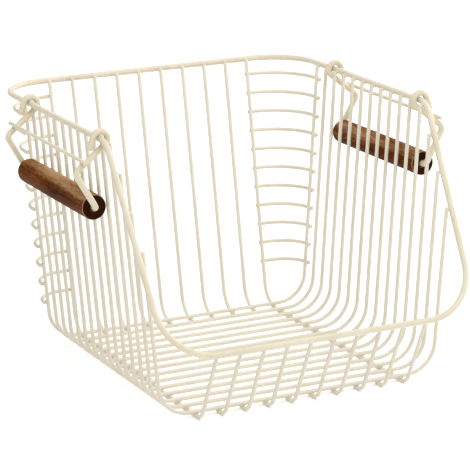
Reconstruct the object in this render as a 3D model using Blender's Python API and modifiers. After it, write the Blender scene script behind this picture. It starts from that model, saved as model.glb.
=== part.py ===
"""Welded wire scoop basket with two hooked bail handles and turned wooden grips.

Metres, +Z up. The basket stands on z = 0 with its middle over the origin, its low scoop front
faces -Y and its right side is +X. Every wire is given by its centre line. Wires that are welded
on the real basket lie a weld gap apart here, so that each one stays a body of its own.
"""

import math

import bmesh
import bpy
from mathutils import Quaternion, Vector

# Wire gauges and clearances
RIM_WIRE_DIAMETER = 0.0048
GRID_WIRE_DIAMETER = 0.0030
BAIL_WIRE_DIAMETER = 0.0048
CROSSBAR_DIAMETER = 0.0030
WELD_GAP = 0.0003
WIRE_OVERHANG = 0.0045

# Rim, by the corners of its centre line
RIM_HEIGHT = 0.2073
RIM_HALF_WIDTH = 0.1352
RIM_REAR_CORNER_RADIUS = 0.0418
RIM_SHOULDER_RADIUS = 0.018
HOOK_TO_SHOULDER = 0.0103
LIP_HEIGHT = 0.0613
LIP_HALF_WIDTH = 0.128
LIP_CORNER_RADIUS = 0.0416

# Wall wires, from the rear to the front
WALL_WIRE_COUNT = 15
WALL_WIRE_PITCH = 0.0156
FOOT_HALF_WIDTH = 0.1155
FOOT_BEND_RADIUS = 0.0245

# Back wires, front wires and the runners that close both rows
BACK_WIRE_COUNT = 10
BACK_TOP_PITCH = 0.0199
BACK_FLOOR_PITCH = 0.0195
BACK_WALL_RUN = 0.0366
BACK_BEND_RADIUS = 0.022
FIRST_WALL_WIRE_UP_BEND = 0.0041
FRONT_PITCH = 0.0194
FRONT_WALL_RUN = 0.0306
FRONT_BEND_RADIUS = 0.012
LAST_WALL_WIRE_TO_FRONT_CORNER = 0.0086

# Corner wires
CORNER_WIRE_COUNT = 11
CORNER_WIRE_TOP_DROP = 0.0127
CORNER_WIRE_LOWEST = 0.0366
CORNER_BEND_SHARE = 0.955
CORNER_WIRE_OVERHANG = 0.0006

# Bails, measured outwards and down from the rim that they hang on
REAR_HOOK_AFTER_WIRE = 2
FRONT_HOOK_AFTER_WIRE = 11
HOOK_CLEARANCE = 0.0010
HOOK_TAIL_LENGTH = 0.0105
HOOK_TAIL_ANGLE = math.radians(20)
HOOK_LEG_ANGLE = math.radians(232)
UPPER_LEG_LENGTH = 0.031
ELBOW_RADIUS = 0.0045
BAIL_CORNER_RADIUS = 0.0040
BAIL_SPLAY = 0.0010
CROSSBAR_ALONG_LEG = 0.0212
CROSSBAR_WELD_DEPTH = 0.0004

# Grips
GRIP_DROP = 0.0522
GRIP_DIAMETER = 0.0196
GRIP_BORE = 0.0058
GRIP_END_PLAY = 0.0007
GRIP_END_ROUND = 0.0012
GRIP_TO_WALL = 0.0017

# Smoothness of bends and rounds
GRID_WIRE_SIDES = 8
THICK_WIRE_SIDES = 10
GRIP_SIDES = 32
BEND_STEP = math.radians(13)
HOOK_STEP = math.radians(18)
ROUND_STEPS = 3
CAP_WELD_SHARE = 0.01

RIM_RADIUS = RIM_WIRE_DIAMETER / 2
GRID_RADIUS = GRID_WIRE_DIAMETER / 2
BAIL_RADIUS = BAIL_WIRE_DIAMETER / 2
CROSSBAR_RADIUS = CROSSBAR_DIAMETER / 2
RIM_SEAT = RIM_RADIUS + WELD_GAP + GRID_RADIUS
CROSSING = GRID_WIRE_DIAMETER + WELD_GAP
# The lowest wires are turned so that a flat of their section lies on the ground.
FLAT_TURN = math.pi / GRID_WIRE_SIDES
GROUND_WIRE_Z = GRID_RADIUS * math.cos(FLAT_TURN)

# The back leans out over its run, and its bend takes this much of the floor.
BACK_OPENING = math.pi / 2 + math.atan2(BACK_WALL_RUN, RIM_HEIGHT - GROUND_WIRE_Z)
BACK_BEND_REACH = BACK_BEND_RADIUS / math.tan(BACK_OPENING / 2)
BACK_CORNER_TO_FIRST_WALL_WIRE = BACK_BEND_REACH - FIRST_WALL_WIRE_UP_BEND
WALL_WIRES_LENGTH = (WALL_WIRE_COUNT - 1) * WALL_WIRE_PITCH
FLOOR_LENGTH = BACK_CORNER_TO_FIRST_WALL_WIRE + WALL_WIRES_LENGTH + LAST_WALL_WIRE_TO_FRONT_CORNER
RIM_DEPTH = RIM_SEAT + BACK_WALL_RUN + FLOOR_LENGTH + FRONT_WALL_RUN + RIM_SEAT
RIM_BACK_Y = RIM_DEPTH / 2
LIP_Y = -RIM_DEPTH / 2
BACK_TOP_Y = RIM_BACK_Y - RIM_SEAT
BACK_CORNER_Y = BACK_TOP_Y - BACK_WALL_RUN
FIRST_WALL_WIRE_Y = BACK_CORNER_Y - BACK_CORNER_TO_FIRST_WALL_WIRE
LAST_WALL_WIRE_Y = FIRST_WALL_WIRE_Y - WALL_WIRES_LENGTH
FRONT_CORNER_Y = LAST_WALL_WIRE_Y - LAST_WALL_WIRE_TO_FRONT_CORNER
FRONT_TOP_Y = LIP_Y + RIM_SEAT

REAR_HOOK_Y = FIRST_WALL_WIRE_Y - (REAR_HOOK_AFTER_WIRE - 1 / 2) * WALL_WIRE_PITCH
FRONT_HOOK_Y = FIRST_WALL_WIRE_Y - (FRONT_HOOK_AFTER_WIRE - 1 / 2) * WALL_WIRE_PITCH
HANDLE_Y = (REAR_HOOK_Y + FRONT_HOOK_Y) / 2
LEG_HALF_SPACING = (REAR_HOOK_Y - FRONT_HOOK_Y) / 2
SHOULDER_Y = FRONT_HOOK_Y - HOOK_TO_SHOULDER
HOOK_RADIUS = RIM_RADIUS + HOOK_CLEARANCE + BAIL_RADIUS
GRIP_RADIUS = GRIP_DIAMETER / 2
GRIP_LENGTH = 2 * (LEG_HALF_SPACING + BAIL_SPLAY - BAIL_CORNER_RADIUS - GRIP_END_PLAY)


def material(name, colour, roughness, metallic):
    """A Principled material with one colour."""
    made = bpy.data.materials.new(name)
    made.use_nodes = True
    shader = made.node_tree.nodes["Principled BSDF"]
    shader.inputs["Base Color"].default_value = colour
    shader.inputs["Roughness"].default_value = roughness
    shader.inputs["Metallic"].default_value = metallic
    made.diffuse_color = colour
    return made


def bend(before, corner, after, radius, step):
    """Points of the arc that turns the corner between two straight runs."""
    back = (before - corner).normalized()
    ahead = (after - corner).normalized()
    opening = back.angle(ahead)
    turn = math.pi - opening
    centre = corner + (back + ahead).normalized() * (radius / math.sin(opening / 2))
    start = corner + back * (radius / math.tan(opening / 2)) - centre
    axis = ahead.cross(back).normalized()
    count = max(2, math.ceil(turn / step))
    return [centre + Quaternion(axis, turn * i / count) @ start for i in range(count + 1)]


def bent_wire(corners, radii, step=BEND_STEP):
    """The centre line of an open wire. Each corner between its ends is turned on its radius."""
    points = [corners[0]]
    for i, radius in enumerate(radii, start=1):
        points += bend(corners[i - 1], corners[i], corners[i + 1], radius, step)
    return points + [corners[-1]]


def bent_loop(corners, radii, step=BEND_STEP):
    """The centre line of a closed wire, with a radius at every corner."""
    points = []
    for i, radius in enumerate(radii):
        after = corners[(i + 1) % len(corners)]
        points += bend(corners[i - 1], corners[i], after, radius, step)
    return points


def wire(name, points, diameter, coat, sides=GRID_WIRE_SIDES, closed=False, turn=FLAT_TURN, twist="Z_UP"):
    """A round wire along the points. Its origin is its first point, or the scene's for a loop."""
    origin = Vector() if closed else points[0]
    curve = bpy.data.curves.new(name, "CURVE")
    curve.dimensions = "3D"
    curve.twist_mode = twist
    curve.bevel_depth = diameter / 2
    curve.bevel_resolution = sides // 2 - 2
    curve.use_fill_caps = True
    spline = curve.splines.new("POLY")
    spline.points.add(len(points) - 1)
    for knot, point in zip(spline.points, points):
        knot.co = (*(point - origin), 1)
        knot.tilt = turn
    spline.use_cyclic_u = closed
    spline.use_smooth = True
    made = bpy.data.objects.new(name, curve)
    made.location = origin
    curve.materials.append(coat)
    basket.objects.link(made)
    return made


def wire_as_mesh(curve_object, collection):
    """The same wire as a closed mesh, for joining. The curve object is removed."""
    bpy.context.view_layer.update()
    graph = bpy.context.evaluated_depsgraph_get()
    mesh = bpy.data.meshes.new_from_object(curve_object.evaluated_get(graph))
    shape = bmesh.new()
    shape.from_mesh(mesh)
    bmesh.ops.remove_doubles(shape, verts=shape.verts, dist=GRID_WIRE_DIAMETER * CAP_WELD_SHARE)
    shape.to_mesh(mesh)
    shape.free()
    name = curve_object.name
    place = curve_object.matrix_world.copy()
    bpy.data.objects.remove(curve_object)
    mesh.name = name
    made = bpy.data.objects.new(name, mesh)
    made.matrix_world = place
    collection.objects.link(made)
    return made


def rim_centre_line():
    """The rim as a closed loop: level at the back and sides, sloping down to the front lip."""
    half = [
        (Vector((RIM_HALF_WIDTH, RIM_BACK_Y, RIM_HEIGHT)), RIM_REAR_CORNER_RADIUS),
        (Vector((RIM_HALF_WIDTH, SHOULDER_Y, RIM_HEIGHT)), RIM_SHOULDER_RADIUS),
        (Vector((LIP_HALF_WIDTH, LIP_Y, LIP_HEIGHT)), LIP_CORNER_RADIUS),
    ]
    other_half = [(Vector((-corner.x, corner.y, corner.z)), radius) for corner, radius in reversed(half)]
    corners, radii = zip(*(half + other_half))
    return bent_loop(corners, radii)


def rim_at(y):
    """The rim's centre on the right side at this y, on a level run or on the slope."""
    side = [point for point in rim_centre_line() if point.x > 0]
    for rear, front in zip(side, side[1:]):
        if front.y <= y <= rear.y:
            return rear.lerp(front, (rear.y - y) / (rear.y - front.y))
    return side[0]


def floor_height(y):
    """Height of a wall wire that lies on the back wires, which still rise from their bend there."""
    past = max(0, y - BACK_CORNER_Y + BACK_BEND_REACH)
    reach = BACK_BEND_RADIUS - CROSSING
    return GROUND_WIRE_Z + BACK_BEND_RADIUS - math.sqrt(reach**2 - past**2)


def wall_wire_y(index):
    return FIRST_WALL_WIRE_Y - index * WALL_WIRE_PITCH


def wall_x(index, z):
    """How far out the straight side run of a wall wire stands at this height."""
    y = wall_wire_y(index)
    top = rim_at(y)
    floor = floor_height(y)
    lean = (top.x - RIM_SEAT - FOOT_HALF_WIDTH) / (top.z - floor)
    return FOOT_HALF_WIDTH + lean * (z - floor)


def make_wall_wires(coat):
    """Each hangs inside the rim at both ends and crosses the floor in one piece."""
    for index in range(WALL_WIRE_COUNT):
        y = wall_wire_y(index)
        floor = floor_height(y)
        top = rim_at(y).z
        right = [Vector((wall_x(index, top), y, top)), Vector((FOOT_HALF_WIDTH, y, floor))]
        left = [Vector((-corner.x, y, corner.z)) for corner in reversed(right)]
        # The wire starts at its left end, so that it runs towards +X all the way.
        corners = left[::-1] + right[::-1]
        points = bent_wire(corners, (FOOT_BEND_RADIUS, FOOT_BEND_RADIUS))
        wire(f"wall_wire_{index + 1:02d}", points, GRID_WIRE_DIAMETER, coat)


def back_corners(index):
    """Top end and floor corner of a back wire, numbered from the left."""
    place = index - (BACK_WIRE_COUNT - 1) / 2
    return [
        Vector((place * BACK_TOP_PITCH, BACK_TOP_Y, RIM_HEIGHT)),
        Vector((place * BACK_FLOOR_PITCH, BACK_CORNER_Y, GROUND_WIRE_Z)),
    ]


def front_corners(index):
    """Floor corner and top end of a front wire, numbered from the left."""
    x = (index - (BACK_WIRE_COUNT - 1) / 2) * FRONT_PITCH
    return [Vector((x, FRONT_CORNER_Y, GROUND_WIRE_Z)), Vector((x, FRONT_TOP_Y, LIP_HEIGHT))]


def make_back_and_front_wires(back_coat, front_coat, runner_coat):
    """The outermost wires run on under the floor as runners, and the others stop past one wall wire."""
    last = BACK_WIRE_COUNT - 1
    for index, side in ((0, "left"), (last, "right")):
        points = bent_wire(back_corners(index) + front_corners(index), (BACK_BEND_RADIUS, FRONT_BEND_RADIUS))
        wire(f"{side}_runner", points, GRID_WIRE_DIAMETER, runner_coat)
    for index in range(1, last):
        top, corner = back_corners(index)
        end = Vector((corner.x, FIRST_WALL_WIRE_Y - WIRE_OVERHANG, corner.z))
        points = bent_wire([top, corner, end], [BACK_BEND_RADIUS])
        wire(f"back_wire_{index}", points, GRID_WIRE_DIAMETER, back_coat)
        corner, top = front_corners(index)
        end = Vector((corner.x, LAST_WALL_WIRE_Y + WIRE_OVERHANG, corner.z))
        points = bent_wire([end, corner, top], [FRONT_BEND_RADIUS])
        wire(f"front_wire_{index}", points, GRID_WIRE_DIAMETER, front_coat)


def corner_wire(side, z):
    """A level wire outside the runner and the first wall wire, bent round one rear corner."""
    top, floor = back_corners(BACK_WIRE_COUNT - 1)
    runner = floor.lerp(top, (z - floor.z) / (top.z - floor.z))
    back_y = runner.y + CROSSING
    side_x = wall_x(0, z) + CROSSING
    radius = min(CORNER_BEND_SHARE * (side_x - runner.x), back_y - FIRST_WALL_WIRE_Y)
    corners = [
        Vector((side * (runner.x - CORNER_WIRE_OVERHANG), back_y, z)),
        Vector((side * side_x, back_y, z)),
        Vector((side * side_x, FIRST_WALL_WIRE_Y - CORNER_WIRE_OVERHANG, z)),
    ]
    return bent_wire(corners, [radius])


def make_corner_wires(coat):
    highest = RIM_HEIGHT - CORNER_WIRE_TOP_DROP
    pitch = (highest - CORNER_WIRE_LOWEST) / (CORNER_WIRE_COUNT - 1)
    for side, label in ((-1, "left"), (1, "right")):
        for row in range(CORNER_WIRE_COUNT):
            points = corner_wire(side, highest - row * pitch)
            wire(f"{label}_corner_wire_{row + 1:02d}", points, GRID_WIRE_DIAMETER, coat)


def grip_place():
    """Grip axis, outwards and up from the rim: the grip hangs just clear of the wall wires beside it."""
    wall_face = wall_x(REAR_HOOK_AFTER_WIRE, RIM_HEIGHT - GRIP_DROP) + GRID_RADIUS
    return wall_face + GRIP_TO_WALL + GRIP_RADIUS - RIM_HALF_WIDTH, -GRIP_DROP


def bail_points(side):
    """Half of the bail's centre line, from the hook's tail to its lower corner, about the hook's centre.

    Outwards is +X here on both sides, and side turns it to the left or right handle.
    """
    sweep = HOOK_LEG_ANGLE - HOOK_TAIL_ANGLE
    count = math.ceil(sweep / HOOK_STEP)
    angles = [HOOK_TAIL_ANGLE + sweep * i / count for i in range(count + 1)]
    hook = [Vector((math.cos(a), 0, math.sin(a))) * HOOK_RADIUS for a in angles]
    tail_heading = Vector((math.sin(HOOK_TAIL_ANGLE), 0, -math.cos(HOOK_TAIL_ANGLE)))
    leg_heading = Vector((-math.sin(HOOK_LEG_ANGLE), 0, math.cos(HOOK_LEG_ANGLE)))
    out, up = grip_place()
    grip_corner = Vector((out, -BAIL_SPLAY, up))
    elbow = hook[-1] + leg_heading * UPPER_LEG_LENGTH
    along_grip = grip_corner + Vector((0, LEG_HALF_SPACING, 0))
    points = [hook[0] + tail_heading * HOOK_TAIL_LENGTH] + hook
    points += bend(hook[-1], elbow, grip_corner, ELBOW_RADIUS, BEND_STEP * 2)
    points += bend(elbow, grip_corner, along_grip, BAIL_CORNER_RADIUS, BEND_STEP)
    return [Vector((side * p.x, p.y - LEG_HALF_SPACING, p.z)) for p in points]


def crossbar_ends(side):
    """Centre line of the crossbar, laid on the outer side of both upper legs and sunk by its weld."""
    foot = Vector((math.cos(HOOK_LEG_ANGLE), 0, math.sin(HOOK_LEG_ANGLE))) * HOOK_RADIUS
    leg_heading = Vector((-math.sin(HOOK_LEG_ANGLE), 0, math.cos(HOOK_LEG_ANGLE)))
    outer_side = Vector((-leg_heading.z, 0, leg_heading.x))
    seat = BAIL_RADIUS + CROSSBAR_RADIUS - CROSSBAR_WELD_DEPTH
    middle = foot + leg_heading * CROSSBAR_ALONG_LEG + outer_side * seat
    half = LEG_HALF_SPACING + BAIL_RADIUS + WIRE_OVERHANG
    return [Vector((side * middle.x, y, middle.z)) for y in (-half, half)]


def make_bail(side, label, pivot, coat):
    """The bail and its welded crossbar as one body that swings about the pivot on the rim."""
    front_half = bail_points(side)
    rear_half = [Vector((p.x, -p.y, p.z)) for p in reversed(front_half)]
    points = front_half + rear_half
    bail = wire(f"{label}_bail", points, BAIL_WIRE_DIAMETER, coat, THICK_WIRE_SIDES, twist="MINIMUM")
    crossbar = wire(f"{label}_crossbar", crossbar_ends(side), CROSSBAR_DIAMETER, coat)
    bail = wire_as_mesh(bail, basket)
    crossbar = wire_as_mesh(crossbar, joining)
    for piece in (bail, crossbar):
        piece.data.transform(piece.matrix_world)
        piece.location = Vector()
        piece.parent = pivot
    crossbar.hide_render = True
    crossbar.display_type = "WIRE"
    weld = bail.modifiers.new("crossbar weld", "BOOLEAN")
    weld.operation = "UNION"
    weld.object = crossbar


def make_grip(side, label, pivot, wood):
    """A turned wooden tube with rounded ends, on its own spin axis."""
    half_length = GRIP_LENGTH / 2
    round_centre = Vector((GRIP_RADIUS - GRIP_END_ROUND, 0, half_length - GRIP_END_ROUND))
    angles = [math.pi / 2 * (1 - i / ROUND_STEPS) for i in range(ROUND_STEPS + 1)]
    upper = [round_centre + Vector((math.cos(a), 0, math.sin(a))) * GRIP_END_ROUND for a in angles]
    upper = [Vector((GRIP_BORE / 2, 0, half_length))] + upper
    profile = upper + [Vector((p.x, 0, -p.z)) for p in reversed(upper)]
    mesh = bpy.data.meshes.new(f"{label}_grip")
    last = len(profile) - 1
    mesh.from_pydata(profile, [(i, i + 1) for i in range(last)] + [(last, 0)], [])
    mesh.materials.append(wood)
    grip = bpy.data.objects.new(f"{label}_grip", mesh)
    basket.objects.link(grip)
    turned = grip.modifiers.new("turning", "SCREW")
    turned.steps = GRIP_SIDES
    turned.render_steps = GRIP_SIDES
    turned.use_merge_vertices = True
    turned.merge_threshold = WELD_GAP * CAP_WELD_SHARE
    grip.parent = pivot
    out, up = grip_place()
    grip.location = (side * out, 0, up)
    grip.rotation_euler.x = math.pi / 2


def make_handles(coat, wood):
    for side, label in ((-1, "left"), (1, "right")):
        pivot = bpy.data.objects.new(f"{label}_handle_pivot", None)
        pivot.location = (side * RIM_HALF_WIDTH, HANDLE_Y, RIM_HEIGHT)
        basket.objects.link(pivot)
        make_bail(side, label, pivot, coat)
        make_grip(side, label, pivot, wood)


for leftover in list(bpy.data.objects):
    bpy.data.objects.remove(leftover)
basket = bpy.data.collections.new("wire_scoop_basket")
joining = bpy.data.collections.new("joining_shapes")
for collection in (basket, joining):
    bpy.context.scene.collection.children.link(collection)

IVORY = (0.87, 0.80, 0.66, 1)
DARK_WOOD = (0.13, 0.047, 0.027, 1)
rim_coat = material("rim_ivory_coat", IVORY, 0.38, 0.0)
wall_coat = material("wall_wire_ivory_coat", IVORY, 0.38, 0.0)
back_coat = material("back_wire_ivory_coat", IVORY, 0.38, 0.0)
front_coat = material("front_wire_ivory_coat", IVORY, 0.38, 0.0)
runner_coat = material("runner_ivory_coat", IVORY, 0.38, 0.0)
corner_coat = material("corner_wire_ivory_coat", IVORY, 0.38, 0.0)
bail_coat = material("bail_ivory_coat", IVORY, 0.38, 0.0)
grip_wood = material("grip_dark_wood", DARK_WOOD, 0.5, 0.0)

wire("rim", rim_centre_line(), RIM_WIRE_DIAMETER, rim_coat, THICK_WIRE_SIDES, closed=True)
make_wall_wires(wall_coat)
make_back_and_front_wires(back_coat, front_coat, runner_coat)
make_corner_wires(corner_coat)
make_handles(bail_coat, grip_wood)
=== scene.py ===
"""Coated wire scoop basket with two hooked bail handles and stained wooden grips.

Metres, +Z up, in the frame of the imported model: the low scoop front faces -Y and the right side
is +X. Every wire of the model is drawn again here as a fine round bar with rolled cut ends, the
welds between the wires are added, and each piece stands exactly where its solid stands.
"""

import logging
import math
from dataclasses import dataclass, field, replace
from enum import Enum
from typing import ClassVar, Iterable, Mapping, Sequence, Union

import bmesh
import bpy
from mathutils import Matrix, Quaternion, Vector


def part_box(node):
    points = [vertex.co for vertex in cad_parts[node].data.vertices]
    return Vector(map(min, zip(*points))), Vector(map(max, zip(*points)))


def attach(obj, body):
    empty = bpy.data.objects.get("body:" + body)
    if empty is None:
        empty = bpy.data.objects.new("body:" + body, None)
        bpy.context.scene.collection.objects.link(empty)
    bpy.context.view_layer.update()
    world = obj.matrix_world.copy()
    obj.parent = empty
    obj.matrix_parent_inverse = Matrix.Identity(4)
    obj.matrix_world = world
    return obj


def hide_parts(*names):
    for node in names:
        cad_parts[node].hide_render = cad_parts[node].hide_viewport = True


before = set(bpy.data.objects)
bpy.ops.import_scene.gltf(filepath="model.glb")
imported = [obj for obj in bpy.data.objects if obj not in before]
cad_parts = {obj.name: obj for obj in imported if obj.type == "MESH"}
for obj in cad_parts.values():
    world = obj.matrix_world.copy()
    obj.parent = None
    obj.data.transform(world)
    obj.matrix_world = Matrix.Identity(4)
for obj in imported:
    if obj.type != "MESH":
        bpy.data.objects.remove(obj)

logging.basicConfig(level=logging.INFO, format="%(levelname)s %(message)s")
log = logging.getLogger("scoop_basket")

Piece = bpy.types.Object
Node = bpy.types.Node
Socket = bpy.types.NodeSocket
Colour = tuple[float, float, float]
Place = tuple[float, float, float]

UP = Vector((0, 0, 1))
RIGHT = Vector((1, 0, 0))
BACK = Vector((0, 1, 0))
MERGE_DISTANCE = 1e-6
PLACE_TOLERANCE = 0.0004
MILLIMETRES_PER_METRE = 1000


class Side(Enum):
    """The two sides of the basket. The value is the sign of x there."""

    LEFT = -1
    RIGHT = 1

    @property
    def label(self) -> str:
        """The word that starts the names of this side's pieces."""
        return self.name.lower()


class Body(Enum):
    """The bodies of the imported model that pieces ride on."""

    BASKET = "basket"
    LEFT_HANDLE = "left_handle"
    RIGHT_HANDLE = "right_handle"
    LEFT_GRIP = "left_grip_roller"
    RIGHT_GRIP = "right_grip_roller"


class Slot(Enum):
    """The finish slots of the record."""

    COAT = "ivory_coat"
    WOOD = "dark_wood"


@dataclass(frozen=True)
class Feed:
    """A straight run of wire up to a point."""

    to: Vector


@dataclass(frozen=True)
class Turn:
    """A bend about an axis, by a right-handed angle."""

    centre: Vector
    axis: Vector
    angle: float


Move = Union[Feed, Turn]


@dataclass(frozen=True)
class Arc:
    """The bend that joins two straight runs at their corner."""

    start: Vector
    turn: Turn

    @classmethod
    def at_corner(cls, before: Vector, corner: Vector, after: Vector, radius: float) -> "Arc":
        """Fits the bend into a corner.

        Args:
            before: A point on the run that comes in.
            corner: Where both centre lines meet.
            after: A point on the run that goes out.
            radius: Radius of the centre line in the bend.

        Returns:
            The bend, with the point where it starts.
        """
        back = (before - corner).normalized()
        ahead = (after - corner).normalized()
        half_opening = back.angle(ahead) / 2
        centre = corner + (back + ahead).normalized() * (radius / math.sin(half_opening))
        start = corner + back * (radius / math.tan(half_opening))
        return cls(start, Turn(centre, ahead.cross(back).normalized(), math.pi - 2 * half_opening))


def moves_through(corners: Sequence[Vector], radii: Sequence[float]) -> list[Move]:
    """The moves that lead a wire round its corners to its last point.

    Args:
        corners: The wire's first point, its corners and its last point.
        radii: One bend radius for each corner between the two ends.

    Returns:
        Straight runs and bends in order.
    """
    moves: list[Move] = []
    for i, radius in enumerate(radii, start=1):
        arc = Arc.at_corner(corners[i - 1], corners[i], corners[i + 1], radius)
        moves += [Feed(arc.start), arc.turn]
    return moves + [Feed(corners[-1])]


def deselect_all() -> None:
    """Leaves nothing selected in object mode."""
    bpy.ops.object.select_all(action="DESELECT")


def open_mesh(action: str) -> None:
    """Opens the new mesh for editing by its points.

    Args:
        action: SELECT to have all of them selected, DESELECT to have none.
    """
    bpy.ops.object.mode_set(mode="EDIT")
    bpy.ops.mesh.select_mode(type="VERT")
    bpy.ops.mesh.select_all(action=action)


def merge_doubles() -> None:
    """Merges all points of the open mesh that lie in one place."""
    bpy.ops.mesh.select_all(action="SELECT")
    bpy.ops.mesh.remove_doubles(threshold=MERGE_DISTANCE)


def leave_mesh() -> None:
    """Turns every face of the open mesh outwards and goes back to object mode."""
    bpy.ops.mesh.select_all(action="SELECT")
    bpy.ops.mesh.normals_make_consistent(inside=False)
    bpy.ops.object.mode_set(mode="OBJECT")


def named(piece: Piece, name: str) -> Piece:
    """Gives a piece and its mesh the same name.

    Args:
        piece: The piece.
        name: Its new name.

    Returns:
        The same piece.
    """
    piece.name = name
    piece.data.name = name
    return piece


def join_as(name: str, parts: Sequence[Piece]) -> Piece:
    """Joins several meshes into one piece.

    Args:
        name: Name of the joined piece.
        parts: The meshes, which all lie at the origin.

    Returns:
        The joined piece.
    """
    deselect_all()
    for part in parts:
        part.select_set(True)
    bpy.context.view_layer.objects.active = parts[0]
    bpy.ops.object.join()
    return named(bpy.context.object, name)


@dataclass
class WireBender:
    """Draws round wire by feeding one ring of its section forwards and turning it at the bends."""

    sides: int = 20
    bend_step: float = math.radians(6)
    least_bend_steps: int = 3
    cut_round_share: float = 0.28
    cut_round_steps: int = 2
    position: Vector = field(default_factory=Vector)

    def start(self, point: Vector, heading: Vector, radius: float) -> None:
        """Lays the first ring of a wire and opens it for editing.

        Args:
            point: Where the wire starts.
            heading: The way it runs from there.
            radius: Radius of the wire.
        """
        deselect_all()
        facing = heading.to_track_quat("Z", "Y").to_euler()
        bpy.ops.mesh.primitive_circle_add(
            vertices=self.sides, radius=radius, fill_type="NOTHING", location=point, rotation=facing
        )
        bpy.ops.object.transform_apply(location=True, rotation=True, scale=True)
        open_mesh("SELECT")
        self.position = point.copy()

    def feed(self, to: Vector) -> None:
        """Extrudes the last ring straight to a point.

        Args:
            to: The point, left out where the wire already is there.
        """
        along = to - self.position
        if along.length > MERGE_DISTANCE:
            bpy.ops.mesh.extrude_region_move(TRANSFORM_OT_translate={"value": along})
            self.position = to.copy()

    def turn(self, bend: Turn) -> None:
        """Spins the last ring round a bend. The operator turns against the right hand.

        Args:
            bend: The bend, which starts where the wire is.
        """
        steps = max(self.least_bend_steps, math.ceil(bend.angle / self.bend_step))
        bpy.ops.mesh.spin(steps=steps, angle=-bend.angle, center=bend.centre, axis=bend.axis)
        self.position = bend.centre + Quaternion(bend.axis, bend.angle) @ (self.position - bend.centre)

    def roll_cut_ends(self, radius: float) -> None:
        """Closes both ends of the wire and rounds the edge of each cut.

        Args:
            radius: Radius of the wire.
        """
        self.select_open_rings()
        bpy.ops.mesh.fill_holes(sides=0)
        bpy.ops.mesh.select_all(action="DESELECT")
        bpy.ops.mesh.select_mode(type="FACE")
        mesh = bmesh.from_edit_mesh(bpy.context.object.data)
        for face in mesh.faces:
            face.select = len(face.verts) == self.sides
        bmesh.update_edit_mesh(bpy.context.object.data)
        rounding = radius * self.cut_round_share
        bpy.ops.mesh.bevel(offset=rounding, segments=self.cut_round_steps, affect="EDGES")

    def select_open_rings(self) -> None:
        """Selects the first and the last ring, which are still open."""
        bpy.ops.mesh.select_all(action="DESELECT")
        bpy.ops.mesh.select_mode(type="EDGE")
        bpy.ops.mesh.select_non_manifold()

    def close_loop(self) -> None:
        """Bridges the last ring of a loop to its first one."""
        self.select_open_rings()
        bpy.ops.mesh.bridge_edge_loops()

    def draw(
        self, name: str, start: Vector, moves: Sequence[Move], diameter: float, closed: bool = False
    ) -> Piece:
        """Draws one wire.

        Args:
            name: Name of the piece.
            start: First point of its centre line.
            moves: The runs and bends that follow, the first one a run.
            diameter: Thickness of the wire.
            closed: True for a loop, whose last run leads back to its start.

        Returns:
            The wire as a closed mesh, smooth along its length.
        """
        self.start(start, moves[0].to - start, diameter / 2)
        for move in moves:
            if isinstance(move, Feed):
                self.feed(move.to)
            else:
                self.turn(move)
        merge_doubles()
        if closed:
            self.close_loop()
        else:
            self.roll_cut_ends(diameter / 2)
        leave_mesh()
        bpy.ops.object.shade_smooth()
        return named(bpy.context.object, name)


@dataclass(frozen=True)
class Weld:
    """A weld between two crossed wires: its middle, the line between the wires and its half sizes."""

    middle: Vector
    between: Vector
    along: Vector
    radii: tuple[float, float, float]


@dataclass
class WeldBead:
    """The small bead of metal and coat that fills the corner between two crossed wires.

    It is modelled once about the origin, where Z runs from wire to wire, and every weld gets its own
    copy, sized and turned.
    """

    segments: int = 12
    rings: int = 7
    waist_share: float = 0.10
    pattern: Piece | None = None

    def make_pattern(self) -> Piece:
        """Shapes the bead, with a shallow waist round its middle.

        Returns:
            The bead about the origin, with a radius of one metre.
        """
        deselect_all()
        bpy.ops.mesh.primitive_uv_sphere_add(segments=self.segments, ring_count=self.rings, radius=1)
        bead = bpy.context.object
        bead.name = "weld_bead_pattern"
        open_mesh("DESELECT")
        mesh = bmesh.from_edit_mesh(bead.data)
        waist = 1 / self.rings
        for vertex in mesh.verts:
            vertex.select = abs(vertex.co.z) < waist
        mesh.select_flush_mode()
        bmesh.update_edit_mesh(bead.data)
        shrink = 1 - self.waist_share
        bpy.ops.transform.resize(value=(shrink, shrink, 1), center_override=(0, 0, 0))
        bpy.ops.object.mode_set(mode="OBJECT")
        bpy.ops.object.shade_smooth()
        return bead

    def lay(self, weld: Weld) -> Piece:
        """Copies the bead to one weld.

        Args:
            weld: Where the two wires meet.

        Returns:
            The copy, with its place in its mesh.
        """
        if self.pattern is None:
            self.pattern = self.make_pattern()
        copy = bpy.data.objects.new("weld_bead", self.pattern.data.copy())
        bpy.context.collection.objects.link(copy)
        across = weld.between.normalized()
        along = weld.along.normalized()
        third = across.cross(along).normalized()
        along = third.cross(across)
        turned = Matrix((along, third, across)).transposed().to_4x4()
        sized = Matrix.Diagonal((*weld.radii, 1))
        copy.data.transform(Matrix.Translation(weld.middle) @ turned @ sized)
        return copy

    def discard_pattern(self) -> None:
        """Removes the pattern once every weld has its copy."""
        if self.pattern is not None:
            mesh = self.pattern.data
            bpy.data.objects.remove(self.pattern)
            bpy.data.meshes.remove(mesh)
            self.pattern = None


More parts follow.
